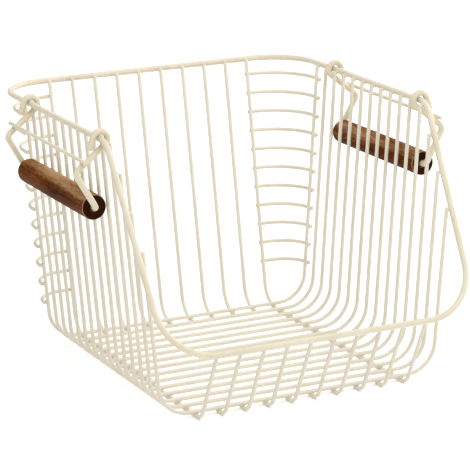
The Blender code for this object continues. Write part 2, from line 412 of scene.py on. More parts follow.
@dataclass(frozen=True)
class WireStock:
    """The wires that the basket is welded from, and how they cross."""

    rim: float = 0.0048
    grid: float = 0.0030
    bail: float = 0.0048
    crossbar: float = 0.0030
    weld_gap: float = 0.0003
    overhang: float = 0.0045
    bead_long_share: float = 1.28
    bead_wide_share: float = 1.12
    bead_thick_share: float = 0.62
    end_bead_drop_share: float = 0.25

    @property
    def rim_seat(self) -> float:
        """From the rim's centre line to that of a grid wire welded inside it."""
        return self.rim / 2 + self.weld_gap + self.grid / 2

    @property
    def crossing(self) -> float:
        """Between the centre lines of two grid wires welded crosswise."""
        return self.grid + self.weld_gap

    @property
    def end_bead_drop(self) -> float:
        """From the end of a grid wire on the rim to the middle of its weld there."""
        return self.grid * self.end_bead_drop_share

    def weld(self, one: Vector, other: Vector, along: Vector, one_radius: float) -> Weld:
        """The weld between two wires.

        Args:
            one: The nearest point of the first centre line.
            other: The nearest point of the second centre line, a grid wire or a crossbar.
            along: The run of the second wire, which the bead follows.
            one_radius: Radius of the first wire.

        Returns:
            A weld in the middle of the gap between both surfaces.
        """
        apart = other - one
        middle = one + apart.normalized() * (one_radius + self.weld_gap / 2)
        radius = self.grid / 2
        shares = (self.bead_long_share, self.bead_wide_share, self.bead_thick_share)
        return Weld(middle, apart, along, tuple(radius * share for share in shares))


@dataclass(frozen=True)
class Layout:
    """How the wires are spaced from the back to the front, measured on the floor and at the rim."""

    stock: WireStock = WireStock()
    rim_height: float = 0.2073
    lip_height: float = 0.0613
    wall_wire_count: int = 15
    wall_wire_pitch: float = 0.0156
    back_wall_run: float = 0.0366
    back_bend_radius: float = 0.022
    first_wall_wire_up_bend: float = 0.0041
    front_wall_run: float = 0.0306
    last_wall_wire_to_front_corner: float = 0.0086
    rear_hook_after_wire: int = 2
    front_hook_after_wire: int = 11

    @property
    def ground_z(self) -> float:
        """Centre height of the wires that lie on the ground."""
        return self.stock.grid / 2

    @property
    def back_bend_reach(self) -> float:
        """Length of floor that the bend of a back wire takes from its corner."""
        opening = math.pi / 2 + math.atan2(self.back_wall_run, self.rim_height - self.ground_z)
        return self.back_bend_radius / math.tan(opening / 2)

    @property
    def wall_wires_length(self) -> float:
        """From the first wall wire to the last."""
        return (self.wall_wire_count - 1) * self.wall_wire_pitch

    @property
    def back_corner_to_first_wall_wire(self) -> float:
        """From the floor corner of the back wires to the first wall wire."""
        return self.back_bend_reach - self.first_wall_wire_up_bend

    @property
    def floor_length(self) -> float:
        """From the floor corner of the back wires to that of the front ones."""
        to_last = self.back_corner_to_first_wall_wire + self.wall_wires_length
        return to_last + self.last_wall_wire_to_front_corner

    @property
    def rim_back_y(self) -> float:
        """Where the rim's back run lies, half the depth behind the middle."""
        walls = self.back_wall_run + self.floor_length + self.front_wall_run
        return (2 * self.stock.rim_seat + walls) / 2

    @property
    def lip_y(self) -> float:
        """Where the rim's front run, the lip, lies."""
        return -self.rim_back_y

    @property
    def back_top_y(self) -> float:
        """Where the back wires meet the rim."""
        return self.rim_back_y - self.stock.rim_seat

    @property
    def back_corner_y(self) -> float:
        """Where the back wires reach the floor."""
        return self.back_top_y - self.back_wall_run

    @property
    def first_wall_wire_y(self) -> float:
        """Where the rearmost wall wire lies."""
        return self.back_corner_y - self.back_corner_to_first_wall_wire

    @property
    def last_wall_wire_y(self) -> float:
        """Where the foremost wall wire lies."""
        return self.first_wall_wire_y - self.wall_wires_length

    @property
    def front_corner_y(self) -> float:
        """Where the front wires leave the floor."""
        return self.last_wall_wire_y - self.last_wall_wire_to_front_corner

    @property
    def front_top_y(self) -> float:
        """Where the front wires meet the lip."""
        return self.lip_y + self.stock.rim_seat

    def wall_wire_y(self, index: int) -> float:
        """Where a wall wire lies, counted from the back."""
        return self.first_wall_wire_y - index * self.wall_wire_pitch

    def between_wall_wires(self, count: int) -> float:
        """The middle of the gap after this many wall wires."""
        return self.wall_wire_y(0) - (count - 1 / 2) * self.wall_wire_pitch

    def floor_height(self, y: float) -> float:
        """Height of a wall wire that rests on the back wires, which may still be in their bend there.

        Args:
            y: Place of the wall wire.

        Returns:
            Height of its centre line on the floor.
        """
        past = max(0.0, y - self.back_corner_y + self.back_bend_reach)
        reach = self.back_bend_radius - self.stock.crossing
        return self.ground_z + self.back_bend_radius - math.sqrt(reach**2 - past**2)


@dataclass
class Rim:
    """The thick loop that is level round the back and sides and slopes down to the front lip."""

    layout: Layout
    half_width: float = 0.1352
    rear_corner_radius: float = 0.0418
    shoulder_radius: float = 0.018
    hook_to_shoulder: float = 0.0103
    lip_half_width: float = 0.128
    lip_corner_radius: float = 0.0416

    @property
    def shoulder_y(self) -> float:
        """Where the level side meets the slope."""
        return self.layout.between_wall_wires(self.layout.front_hook_after_wire) - self.hook_to_shoulder

    def corners(self) -> list[Vector]:
        """Where the straight runs of the centre line meet.

        Returns:
            The six corners, from the rear right one forwards and back round.
        """
        layout = self.layout
        right = [
            Vector((self.half_width, layout.rim_back_y, layout.rim_height)),
            Vector((self.half_width, self.shoulder_y, layout.rim_height)),
            Vector((self.lip_half_width, layout.lip_y, layout.lip_height)),
        ]
        return right + [Vector((-corner.x, corner.y, corner.z)) for corner in reversed(right)]

    def side_at(self, y: float) -> Vector:
        """The centre line on the right side beside a wall wire.

        Args:
            y: Place of the wall wire.

        Returns:
            The point on the level run, in the shoulder bend or on the slope.
        """
        rear, shoulder, lip = self.corners()[:3]
        arc = Arc.at_corner(rear, shoulder, lip, self.shoulder_radius)
        turn = arc.turn
        end = turn.centre + Quaternion(turn.axis, turn.angle) @ (arc.start - turn.centre)
        if y >= arc.start.y:
            return Vector((self.half_width, y, self.layout.rim_height))
        if y <= end.y:
            return end.lerp(lip, (end.y - y) / (end.y - lip.y))
        reach = arc.start.y - y
        drop = self.shoulder_radius - math.sqrt(self.shoulder_radius**2 - reach**2)
        return Vector((self.half_width, y, self.layout.rim_height - drop))

    def build(self, bender: WireBender) -> Piece:
        """Draws the loop, starting and closing in the middle of the back run.

        Args:
            bender: The bender that draws thick wire.

        Returns:
            The rim.
        """
        corners = self.corners()
        radii = [self.rear_corner_radius, self.shoulder_radius, self.lip_corner_radius]
        start = (corners[0] + corners[-1]) / 2
        moves = moves_through([start, *corners, start], radii + radii[::-1])[:-1]
        return bender.draw("coated_rim", start, moves, self.layout.stock.rim, closed=True)


@dataclass
class WallWires:
    """The wires that hang inside the rim on both sides and cross the floor in one piece."""

    rim: Rim
    foot_half_width: float = 0.1155
    foot_bend_radius: float = 0.0245

    @property
    def layout(self) -> Layout:
        """The spacing that all wires share."""
        return self.rim.layout

    def side_x(self, index: int, z: float) -> float:
        """How far out the straight side run of a wall wire stands.

        Args:
            index: The wire, counted from the back.
            z: The height to look at.

        Returns:
            Its distance from the middle of the basket at that height.
        """
        y = self.layout.wall_wire_y(index)
        top = self.rim.side_at(y)
        floor = self.layout.floor_height(y)
        lean = (top.x - self.layout.stock.rim_seat - self.foot_half_width) / (top.z - floor)
        return self.foot_half_width + lean * (z - floor)

    def build(self, bender: WireBender) -> list[Piece]:
        """Draws every wall wire from its left end to its right one.

        Args:
            bender: The bender that draws grid wire.

        Returns:
            The wires from the back to the front.
        """
        wires = []
        for index in range(self.layout.wall_wire_count):
            y = self.layout.wall_wire_y(index)
            floor = self.layout.floor_height(y)
            top = self.rim.side_at(y).z
            left_end = Vector((-self.side_x(index, top), y, top))
            left = [left_end, Vector((-self.foot_half_width, y, floor))]
            corners = left + [Vector((-corner.x, y, corner.z)) for corner in reversed(left)]
            moves = moves_through(corners, [self.foot_bend_radius] * 2)
            name = f"coated_wall_wire_{index + 1:02d}"
            wires.append(bender.draw(name, corners[0], moves, self.layout.stock.grid))
        return wires

    def rim_welds(self) -> list[Weld]:
        """Joins both ends of every wall wire to the inner side of the rim.

        Returns:
            A weld for each end.
        """
        stock = self.layout.stock
        welds = []
        for index in range(self.layout.wall_wire_count):
            rim = self.rim.side_at(self.layout.wall_wire_y(index))
            z = rim.z - stock.end_bead_drop
            for side in Side:
                one = Vector((side.value * rim.x, rim.y, z))
                other = Vector((side.value * (rim.x - stock.rim_seat), rim.y, z))
                welds.append(stock.weld(one, other, UP, stock.rim / 2))
        return welds


@dataclass
class LongWires:
    """The rows of back and front wires. The outermost of both rows are one wire, the runner."""

    layout: Layout
    count: int = 10
    back_top_pitch: float = 0.0199
    back_floor_pitch: float = 0.0195
    front_pitch: float = 0.0194
    front_bend_radius: float = 0.012

    @property
    def last(self) -> int:
        """Index of the rightmost wire."""
        return self.count - 1

    def is_runner(self, index: int) -> bool:
        """True for the outermost wires, which run on from the back to the lip."""
        return index in (0, self.last)

    def place(self, index: int) -> float:
        """Steps from the middle of the row to a wire."""
        return index - self.last / 2

    def back_corners(self, index: int) -> list[Vector]:
        """The back run of a wire.

        Args:
            index: The wire, counted from the left.

        Returns:
            Its top end and its floor corner.
        """
        layout = self.layout
        return [
            Vector((self.place(index) * self.back_top_pitch, layout.back_top_y, layout.rim_height)),
            Vector((self.place(index) * self.back_floor_pitch, layout.back_corner_y, layout.ground_z)),
        ]

    def front_corners(self, index: int) -> list[Vector]:
        """The front run of a wire.

        Args:
            index: The wire, counted from the left.

        Returns:
            Its floor corner and its top end.
        """
        layout = self.layout
        x = self.place(index) * self.front_pitch
        return [
            Vector((x, layout.front_corner_y, layout.ground_z)),
            Vector((x, layout.front_top_y, layout.lip_height)),
        ]

    def build_runners(self, bender: WireBender) -> list[Piece]:
        """Draws the two wires that run from the rim's back under the floor to the lip.

        Args:
            bender: The bender that draws grid wire.

        Returns:
            The left and the right runner.
        """
        radii = (self.layout.back_bend_radius, self.front_bend_radius)
        wires = []
        for side, index in ((Side.LEFT, 0), (Side.RIGHT, self.last)):
            corners = self.back_corners(index) + self.front_corners(index)
            moves = moves_through(corners, radii)
            name = f"coated_{side.label}_runner"
            wires.append(bender.draw(name, corners[0], moves, self.layout.stock.grid))
        return wires

    def build_back(self, bender: WireBender) -> list[Piece]:
        """Draws the inner back wires, which end just past the first wall wire.

        Args:
            bender: The bender that draws grid wire.

        Returns:
            The wires from the left to the right.
        """
        stock = self.layout.stock
        wires = []
        for index in range(1, self.last):
            top, corner = self.back_corners(index)
            end = Vector((corner.x, self.layout.first_wall_wire_y - stock.overhang, corner.z))
            moves = moves_through([top, corner, end], [self.layout.back_bend_radius])
            wires.append(bender.draw(f"coated_back_wire_{index}", top, moves, stock.grid))
        return wires

    def build_front(self, bender: WireBender) -> list[Piece]:
        """Draws the inner front wires, which start just behind the last wall wire.

        Args:
            bender: The bender that draws grid wire.

        Returns:
            The wires from the left to the right.
        """
        stock = self.layout.stock
        wires = []
        for index in range(1, self.last):
            corner, top = self.front_corners(index)
            start = Vector((corner.x, self.layout.last_wall_wire_y + stock.overhang, corner.z))
            moves = moves_through([start, corner, top], [self.front_bend_radius])
            wires.append(bender.draw(f"coated_front_wire_{index}", start, moves, stock.grid))
        return wires

    def rim_welds(self) -> list[Weld]:
        """Joins the upper ends of the back wires to the rim and those of the front wires to the lip.

        Returns:
            A weld for each end, back and front in turn.
        """
        layout = self.layout
        stock = layout.stock
        welds = []
        for index in range(self.count):
            back_top, back_floor = self.back_corners(index)
            front_floor, front_top = self.front_corners(index)
            ends = ((back_top, back_floor, layout.rim_back_y), (front_top, front_floor, layout.lip_y))
            for top, floor, rim_y in ends:
                run = (floor - top).normalized()
                at = top + run * stock.end_bead_drop
                welds.append(stock.weld(Vector((at.x, rim_y, at.z)), at, run, stock.rim / 2))
        return welds

    def floor_x(self, index: int, row: int) -> float:
        """Where a wall wire crosses a wire of this row on the floor.

        Args:
            index: The wire, counted from the left.
            row: The wall wire, counted from the back.

        Returns:
            The place across the basket. A runner drifts from the pitch of the back wires to that of
            the front ones, and an inner wire keeps the pitch of its own end.
        """
        layout = self.layout
        share = (layout.back_corner_y - layout.wall_wire_y(row)) / layout.floor_length
        if not self.is_runner(index):
            share = round(share)
        return self.place(index) * (self.back_floor_pitch * (1 - share) + self.front_pitch * share)

    def floor_welds(self) -> list[Weld]:
        """Joins these wires to the wall wires that lie on them.

        Returns:
            A weld for each crossing: all along a runner, and one at the end of an inner wire.
        """
        layout = self.layout
        stock = layout.stock
        all_rows = range(layout.wall_wire_count)
        end_rows = (all_rows[0], all_rows[-1])
        welds = []
        for index in range(self.count):
            for row in all_rows if self.is_runner(index) else end_rows:
                y = layout.wall_wire_y(row)
                wall = Vector((self.floor_x(index, row), y, layout.floor_height(y)))
                below = wall - UP * stock.crossing
                welds.append(stock.weld(below, wall, RIGHT, stock.grid / 2))
        return welds


@dataclass
class CornerWires:
    """The level wires bent round both rear corners, from a runner to the first wall wire."""

    walls: WallWires
    long_wires: LongWires
    count: int = 11
    top_drop: float = 0.0127
    lowest: float = 0.0366
    bend_share: float = 0.955
    overhang: float = 0.0006

    @property
    def layout(self) -> Layout:
        """The spacing that all wires share."""
        return self.walls.layout

    def heights(self) -> list[float]:
        """Spaces the rows evenly.

        Returns:
            The level of each row, from the highest down.
        """
        highest = self.layout.rim_height - self.top_drop
        pitch = (highest - self.lowest) / (self.count - 1)
        return [highest - row * pitch for row in range(self.count)]

    def runner_at(self, z: float) -> Vector:
        """The centre of the right runner's back run at a height."""
        top, floor = self.long_wires.back_corners(self.long_wires.last)
        return floor.lerp(top, (z - floor.z) / (top.z - floor.z))

    def build(self, bender: WireBender) -> list[Piece]:
        """Draws the rows on both corners.

        Args:
            bender: The bender that draws grid wire.

        Returns:
            The left wires from the highest down, then the right ones.
        """
        stock = self.layout.stock
        wires = []
        for side in Side:
            for row, z in enumerate(self.heights(), start=1):
                runner = self.runner_at(z)
                back_y = runner.y + stock.crossing
                side_x = self.walls.side_x(0, z) + stock.crossing
                first_y = self.layout.first_wall_wire_y
                radius = min(self.bend_share * (side_x - runner.x), back_y - first_y)
                corners = [
                    Vector((side.value * (runner.x - self.overhang), back_y, z)),
                    Vector((side.value * side_x, back_y, z)),
                    Vector((side.value * side_x, first_y - self.overhang, z)),
                ]
                moves = moves_through(corners, [radius])
                name = f"coated_{side.label}_corner_wire_{row:02d}"
                wires.append(bender.draw(name, corners[0], moves, stock.grid))
        return wires

    def welds(self) -> list[Weld]:
        """Joins every corner wire to the runner and to the first wall wire.

        Returns:
            A weld for each end.
        """
        stock = self.layout.stock
        welds = []
        for side in Side:
            for z in self.heights():
                runner = self.runner_at(z)
                on_runner = Vector((side.value * runner.x, runner.y, z))
                behind = on_runner + BACK * stock.crossing
                welds.append(stock.weld(on_runner, behind, RIGHT, stock.grid / 2))
                side_x = side.value * self.walls.side_x(0, z)
                on_wall = Vector((side_x, self.layout.first_wall_wire_y, z))
                outside = on_wall + RIGHT * (side.value * stock.crossing)
                welds.append(stock.weld(on_wall, outside, BACK, stock.grid / 2))
        return welds


@dataclass
class Grip:
    """The turned wooden tube that spins on the lower run of a bail."""

    diameter: float = 0.0196
    bore: float = 0.0058
    end_round: float = 0.0012
    mouth_flare: float = 0.0005
    belly: float = 0.00012
    length: float = 0.133
    segments: int = 72
    round_steps: int = 5
    belly_steps: int = 12
    crease_angle: float = math.radians(40)

    def profile(self) -> list[tuple[float, float]]:
        """Half of the turned outline: radius and distance from the middle, from end to middle.

        Returns:
            Points from the flared mouth of the bore over the rounded end along the flank.
        """
        half = self.length / 2
        radius = self.diameter / 2
        bore = self.bore / 2
        points = [(bore, half - self.mouth_flare), (bore + self.mouth_flare, half)]
        for step in range(self.round_steps + 1):
            angle = math.pi / 2 * (1 - step / self.round_steps)
            rounded = radius - self.belly - self.end_round * (1 - math.cos(angle))
            points.append((rounded, half - self.end_round * (1 - math.sin(angle))))
        flank = half - self.end_round
        for step in range(1, self.belly_steps + 1):
            share = step / self.belly_steps
            swell = self.belly * math.sin(math.pi / 2 * share)
            points.append((radius - self.belly + swell, flank * (1 - share)))
        return points

    def build(self, name: str, axis_point: Vector) -> Piece:
        """Turns the outline about the grip's axis, which runs along Y.

        Args:
            name: Name of the piece.
            axis_point: The middle of the grip.

        Returns:
            The turned tube.
        """
        half = self.profile()
        outline = half + [(radius, -along) for radius, along in reversed(half[:-1])]
        deselect_all()
        bpy.ops.mesh.primitive_circle_add(
            vertices=len(outline), radius=self.diameter / 2, fill_type="NOTHING"
        )
        grip = bpy.context.object
        for vertex, (radius, along) in zip(grip.data.vertices, outline):
            vertex.co = axis_point + Vector((radius, along, 0))
        open_mesh("SELECT")
        bpy.ops.mesh.spin(steps=self.segments, angle=2 * math.pi, center=axis_point, axis=BACK)
        merge_doubles()
        leave_mesh()
        bpy.ops.object.shade_smooth_by_angle(angle=self.crease_angle)
        return named(grip, name)


@dataclass
class Handle:
    """A bail hooked over the rim between two wall wires, with its crossbar, welds and grip."""

    side: Side
    walls: WallWires
    grip: Grip
    hook_clearance: float = 0.0010
    tail_length: float = 0.0105
    tail_angle: float = math.radians(20)
    leg_angle: float = math.radians(232)
    upper_leg_length: float = 0.031
    elbow_radius: float = 0.0045
    corner_radius: float = 0.0040
    splay: float = 0.0010
    crossbar_along_leg: float = 0.0212
    crossbar_weld_depth: float = 0.0004
    grip_drop: float = 0.0522
    grip_to_wall: float = 0.0017

    @property
    def stock(self) -> WireStock:
        """The wire that the bail is bent from."""
        return self.walls.layout.stock

    @property
    def hook_places(self) -> tuple[float, float]:
        """The gaps between two wall wires that the hooks hang in.

        Returns:
            The middle of the rear gap and that of the front one.
        """
        layout = self.walls.layout
        after_wires = (layout.rear_hook_after_wire, layout.front_hook_after_wire)
        return tuple(layout.between_wall_wires(wires) for wires in after_wires)

    @property
    def pivot(self) -> Vector:
        """The middle between both hooks, on the rim's centre line."""
        x = self.side.value * self.walls.rim.half_width
        return Vector((x, sum(self.hook_places) / 2, self.walls.layout.rim_height))

    @property
    def half_spacing(self) -> float:
        """Half of the distance between both legs."""
        rear, front = self.hook_places
        return (rear - front) / 2

    @property
    def hook_radius(self) -> float:
        """From the rim's centre line to the hook's own."""
        return self.stock.rim / 2 + self.hook_clearance + self.stock.bail / 2

    @property
    def leg_heading(self) -> Vector:
        """The way the upper leg runs from the hook, outwards being +X."""
        return Vector((-math.sin(self.leg_angle), 0, math.cos(self.leg_angle)))

    def on_hook(self, angle: float) -> Vector:
        """A point of the hook about the rim, outwards being +X."""
        return Vector((math.cos(angle), 0, math.sin(angle))) * self.hook_radius

    def grip_place(self) -> Vector:
        """Hangs the grip just clear of the wall wires beside it.

        Returns:
            The middle of the grip from the pivot, outwards being +X.
        """
        layout = self.walls.layout
        wall = self.walls.side_x(layout.rear_hook_after_wire, layout.rim_height - self.grip_drop)
        out = wall + self.stock.grid / 2 + self.grip_to_wall + self.grip.diameter / 2
        return Vector((out - self.walls.rim.half_width, 0, -self.grip_drop))

    def to_scene(self, point: Vector) -> Vector:
        """The place on this side of a point that is given from the pivot, outwards being +X."""
        return self.pivot + Vector((self.side.value * point.x, point.y, point.z))

    def bail_moves(self) -> tuple[Vector, list[Move]]:
        """The bail's way from the tail of the front hook to that of the rear one.

        Returns:
            Its first point and its moves.
        """
        hook_end = self.on_hook(self.leg_angle)
        tail_heading = Vector((math.sin(self.tail_angle), 0, -math.cos(self.tail_angle)))
        tail_end = self.on_hook(self.tail_angle) + tail_heading * self.tail_length
        elbow = hook_end + self.leg_heading * self.upper_leg_length
        leg = BACK * self.half_spacing
        splayed = BACK * (self.half_spacing + self.splay)
        places = [hook_end - leg, elbow - leg, self.grip_place() - splayed]
        places += [self.grip_place() + splayed, elbow + leg, hook_end + leg]
        radii = (self.elbow_radius, self.corner_radius, self.corner_radius, self.elbow_radius)
        sweep = self.leg_angle - self.tail_angle
        hand = self.side.value
        front_hook = Turn(self.to_scene(-leg), BACK * -hand, sweep)
        rear_hook = Turn(self.to_scene(leg), BACK * hand, sweep)
        moves: list[Move] = [Feed(self.to_scene(self.on_hook(self.tail_angle) - leg)), front_hook]
        moves += moves_through([self.to_scene(place) for place in places], radii)
        moves += [rear_hook, Feed(self.to_scene(tail_end + leg))]
        return self.to_scene(tail_end - leg), moves

    def crossbar_places(self) -> tuple[Vector, Vector]:
        """Seats the crossbar on the outer side of both upper legs.

        Returns:
            Where the crossbar passes the legs' centre lines, and its own middle, seen from the side.
        """
        outer = Vector((-self.leg_heading.z, 0, self.leg_heading.x))
        seat = (self.stock.bail + self.stock.crossbar) / 2 - self.crossbar_weld_depth
        on_leg = self.on_hook(self.leg_angle) + self.leg_heading * self.crossbar_along_leg
        return on_leg, on_leg + outer * seat

    def build_bail(self, bender: WireBender, beads: WeldBead) -> Piece:
        """Draws the bail and its crossbar and joins them with their two weld beads.

        Args:
            bender: The bender that draws thick wire.
            beads: Lays the weld beads.

        Returns:
            The bail with its crossbar.
        """
        name = f"coated_{self.side.label}_bail"
        start, moves = self.bail_moves()
        bail = bender.draw(name, start, moves, self.stock.bail)
        on_leg, middle = self.crossbar_places()
        half = BACK * (self.half_spacing + self.stock.bail / 2 + self.stock.overhang)
        ends = [self.to_scene(middle - half), self.to_scene(middle + half)]
        crossbar = bender.draw("crossbar", ends[0], [Feed(ends[1])], self.stock.crossbar)
        parts = [bail, crossbar]
        for leg in (-self.half_spacing, self.half_spacing):
            one = self.to_scene(on_leg + BACK * leg)
            other = self.to_scene(middle + BACK * leg)
            parts.append(beads.lay(self.stock.weld(one, other, BACK, self.stock.bail / 2)))
        return join_as(name, parts)

    @property
    def grip_axis(self) -> Vector:
        """The middle of the grip, which its axis runs through along Y."""
        return self.to_scene(self.grip_place())

    def build_grip(self) -> Piece:
        """Turns the grip on the lower run of the bail."""
        return self.grip.build(f"turned_{self.side.label}_grip", self.grip_axis)


@dataclass(frozen=True)
class Noise:
    """A noise texture: its scale in bumps to the metre, its layers of detail and how rough those are."""

    scale: Union[float, Socket]
    detail: float
    roughness: float = 0.5


@dataclass(frozen=True)
class Spread:
    """A range of values, and the range that it is stretched to."""

    low: float
    high: float
    to_low: float = 0.0
    to_high: float = 1.0


class NodeBoard:
    """A short way to place and link the nodes of a material or a node group.

    A mix node has sockets for every kind of data. Those of its share, its two colours and its blended
    colour are named here by their places in the row.
    """

    mix_inputs: ClassVar[tuple[int, int, int]] = (0, 6, 7)
    mix_output: ClassVar[int] = 2

    def __init__(self, tree: bpy.types.NodeTree) -> None:
        """Takes the tree that the nodes go into."""
        self.tree = tree

    def add(self, kind: str, **settings: object) -> Node:
        """Places a node.

        Args:
            kind: Blender's name of the node type.
            settings: Properties to set on the node.

        Returns:
            The node.
        """
        node = self.tree.nodes.new(kind)
        for name, value in settings.items():
            setattr(node, name, value)
        return node

    def give(self, socket: Socket, value: object) -> None:
        """Links an input to a socket, or sets its value.

        Args:
            socket: The input.
            value: The socket or the value that it gets.
        """
        if isinstance(value, Socket):
            self.tree.links.new(value, socket)
        else:
            socket.default_value = value

    def feed(self, node: Node, **inputs: object) -> Node:
        """Feeds a node's inputs.

        Args:
            node: The node to feed.
            inputs: Input names with underscores for spaces, each with a socket or a value.

        Returns:
            The same node.
        """
        for name, value in inputs.items():
            self.give(node.inputs[name.replace("_", " ")], value)
        return node

    def noise(self, vector: Socket, noise: Noise) -> Socket:
        """A noise texture's value at a place.

        Args:
            vector: The place.
            noise: The texture.

        Returns:
            The value.
        """
        node = self.feed(self.add("ShaderNodeTexNoise"), Vector=vector, Scale=noise.scale)
        self.feed(node, Detail=noise.detail, Roughness=noise.roughness)
        return node.outputs[0]

    def scaled(self, vector: Socket, scale: Place) -> Socket:
        """A place with its three directions stretched or squeezed."""
        return self.feed(self.add("ShaderNodeMapping"), Vector=vector, Scale=scale).outputs[0]

    def part(self, vector: Socket, axis: str) -> Socket:
        """One of the three numbers of a vector."""
        node = self.feed(self.add("ShaderNodeSeparateXYZ"), Vector=vector)
        return node.outputs[axis]

    def maths(self, operation: str, *values: object, clamp: bool = False) -> Socket:
        """Works out a sum.

        Args:
            operation: Blender's name of it.
            values: The sockets or numbers that go in.
            clamp: True to hold the result between 0 and 1.

        Returns:
            The result.
        """
        node = self.add("ShaderNodeMath", operation=operation, use_clamp=clamp)
        for socket, value in zip(node.inputs, values):
            self.give(socket, value)
        return node.outputs[0]

    def plus(self, one: object, other: object) -> Socket:
        """Two values added."""
        return self.maths("ADD", one, other)

    def times(self, one: object, other: object) -> Socket:
        """Two values multiplied."""
        return self.maths("MULTIPLY", one, other)

    def spread(self, value: Socket, spread: Spread) -> Socket:
        """Stretches a value from one range to another and holds it inside the second one.

        Args:
            value: The value.
            spread: Both ranges.

        Returns:
            The stretched value.
        """
        node = self.add("ShaderNodeMapRange", clamp=True)
        self.feed(node, From_Min=spread.low, From_Max=spread.high)
        self.feed(node, To_Min=spread.to_low, To_Max=spread.to_high, Value=value)
        return node.outputs["Result"]

    def blend(self, share: object, one: object, other: object) -> Socket:
        """Blends two colours.

        Args:
            share: How much of the second colour there is.
            one: The first colour.
            other: The second colour.

        Returns:
            The blend.
        """
        node = self.add("ShaderNodeMix", data_type="RGBA")
        for index, value in zip(self.mix_inputs, (share, one, other)):
            self.give(node.inputs[index], value)
        return node.outputs[self.mix_output]

    def surface(self, shader: Node, effect: Node, strength: float, depth: float) -> None:
        """Feeds a shader with an effect's colour, roughness and bumps.

        Args:
            shader: The shader.
            effect: The effect's node.
            strength: How far the bumps turn the surface, as a share.
            depth: Depth of the bumps.
        """
        bump = self.add("ShaderNodeBump")
        self.feed(bump, Strength=strength, Distance=depth, Height=effect.outputs["Height"])
        self.feed(shader, Base_Color=effect.outputs["Colour"])
        self.feed(shader, Roughness=effect.outputs["Roughness"], Normal=bump.outputs["Normal"])


class SocketKind(Enum):
    """The kinds of socket that an effect has."""

    VECTOR = "NodeSocketVector"
    COLOUR = "NodeSocketColor"
    VALUE = "NodeSocketFloat"


class Effect:
    """A shader effect that materials share. It puts out a colour, a roughness and a height."""

    name: str

    def group(self) -> bpy.types.NodeTree:
        """The effect's node group, made on first use."""
        found = bpy.data.node_groups.get(self.name)
        return found if found is not None else self.make()

    def make(self) -> bpy.types.NodeTree:
        """Builds the node group."""
        raise NotImplementedError

    def open(self, **takes: SocketKind) -> tuple[NodeBoard, Mapping[str, Socket]]:
        """Makes an empty group with its sockets.

        Args:
            takes: What goes in, by names with underscores for spaces.

        Returns:
            A board for the group, and the sockets of what goes in by name.
        """
        group = bpy.data.node_groups.new(self.name, "ShaderNodeTree")
        gives = {"Colour": SocketKind.COLOUR, "Roughness": SocketKind.VALUE, "Height": SocketKind.VALUE}
        for way, sockets in (("INPUT", takes), ("OUTPUT", gives)):
            for name, kind in sockets.items():
                spaced = name.replace("_", " ")
                group.interface.new_socket(name=spaced, in_out=way, socket_type=kind.value)
        board = NodeBoard(group)
        return board, board.add("NodeGroupInput").outputs


@dataclass(frozen=True)
class CoatSkin(Effect):
    """The skin of baked powder: faint clouds in its colour, a fine orange peel and rare specks."""

    name: str = "coat_skin"
    clouds: Noise = Noise(38.0, 3.0, 0.55)
    patches: Noise = Noise(210.0, 2.0)
    peel_detail: float = 1.5
    grit_scale: float = 520.0
    thin_in_clouds: Spread = Spread(0.38, 0.70, 0.0, 0.6)
    thin_in_patches: Spread = Spread(0.5, 0.8, 0.0, 0.4)
    dull_in_patches: Spread = Spread(0.3, 0.75, 0.0, 0.12)
    speck_edge: Spread = Spread(0.05, 0.12, 1.0, 0.0)
    peel_share: float = 0.8
    speck_share: float = 0.25

    def make(self) -> bpy.types.NodeTree:
        """Draws the skin.

        Returns:
            Its node group.
        """
        board, given = self.open(
            Vector=SocketKind.VECTOR,
            Colour=SocketKind.COLOUR,
            Thin_Colour=SocketKind.COLOUR,
            Peel_Scale=SocketKind.VALUE,
            Least_Roughness=SocketKind.VALUE,
        )
        vector = given["Vector"]
        clouds = board.noise(vector, self.clouds)
        patches = board.noise(vector, self.patches)
        thin_in_clouds = board.spread(clouds, self.thin_in_clouds)
        thin = board.plus(thin_in_clouds, board.spread(patches, self.thin_in_patches))
        colour = board.blend(thin, given["Colour"], given["Thin Colour"])
        peel = board.noise(vector, Noise(given["Peel Scale"], self.peel_detail))
        grit = board.add("ShaderNodeTexVoronoi", feature="F1")
        board.feed(grit, Vector=vector, Scale=self.grit_scale)
        speck = board.spread(grit.outputs["Distance"], self.speck_edge)
        height = board.plus(board.times(peel, self.peel_share), board.times(speck, self.speck_share))
        dullness = board.spread(patches, self.dull_in_patches)
        roughness = board.plus(given["Least Roughness"], dullness)
        board.feed(board.add("NodeGroupOutput"), Colour=colour, Roughness=roughness, Height=height)
        return board.tree


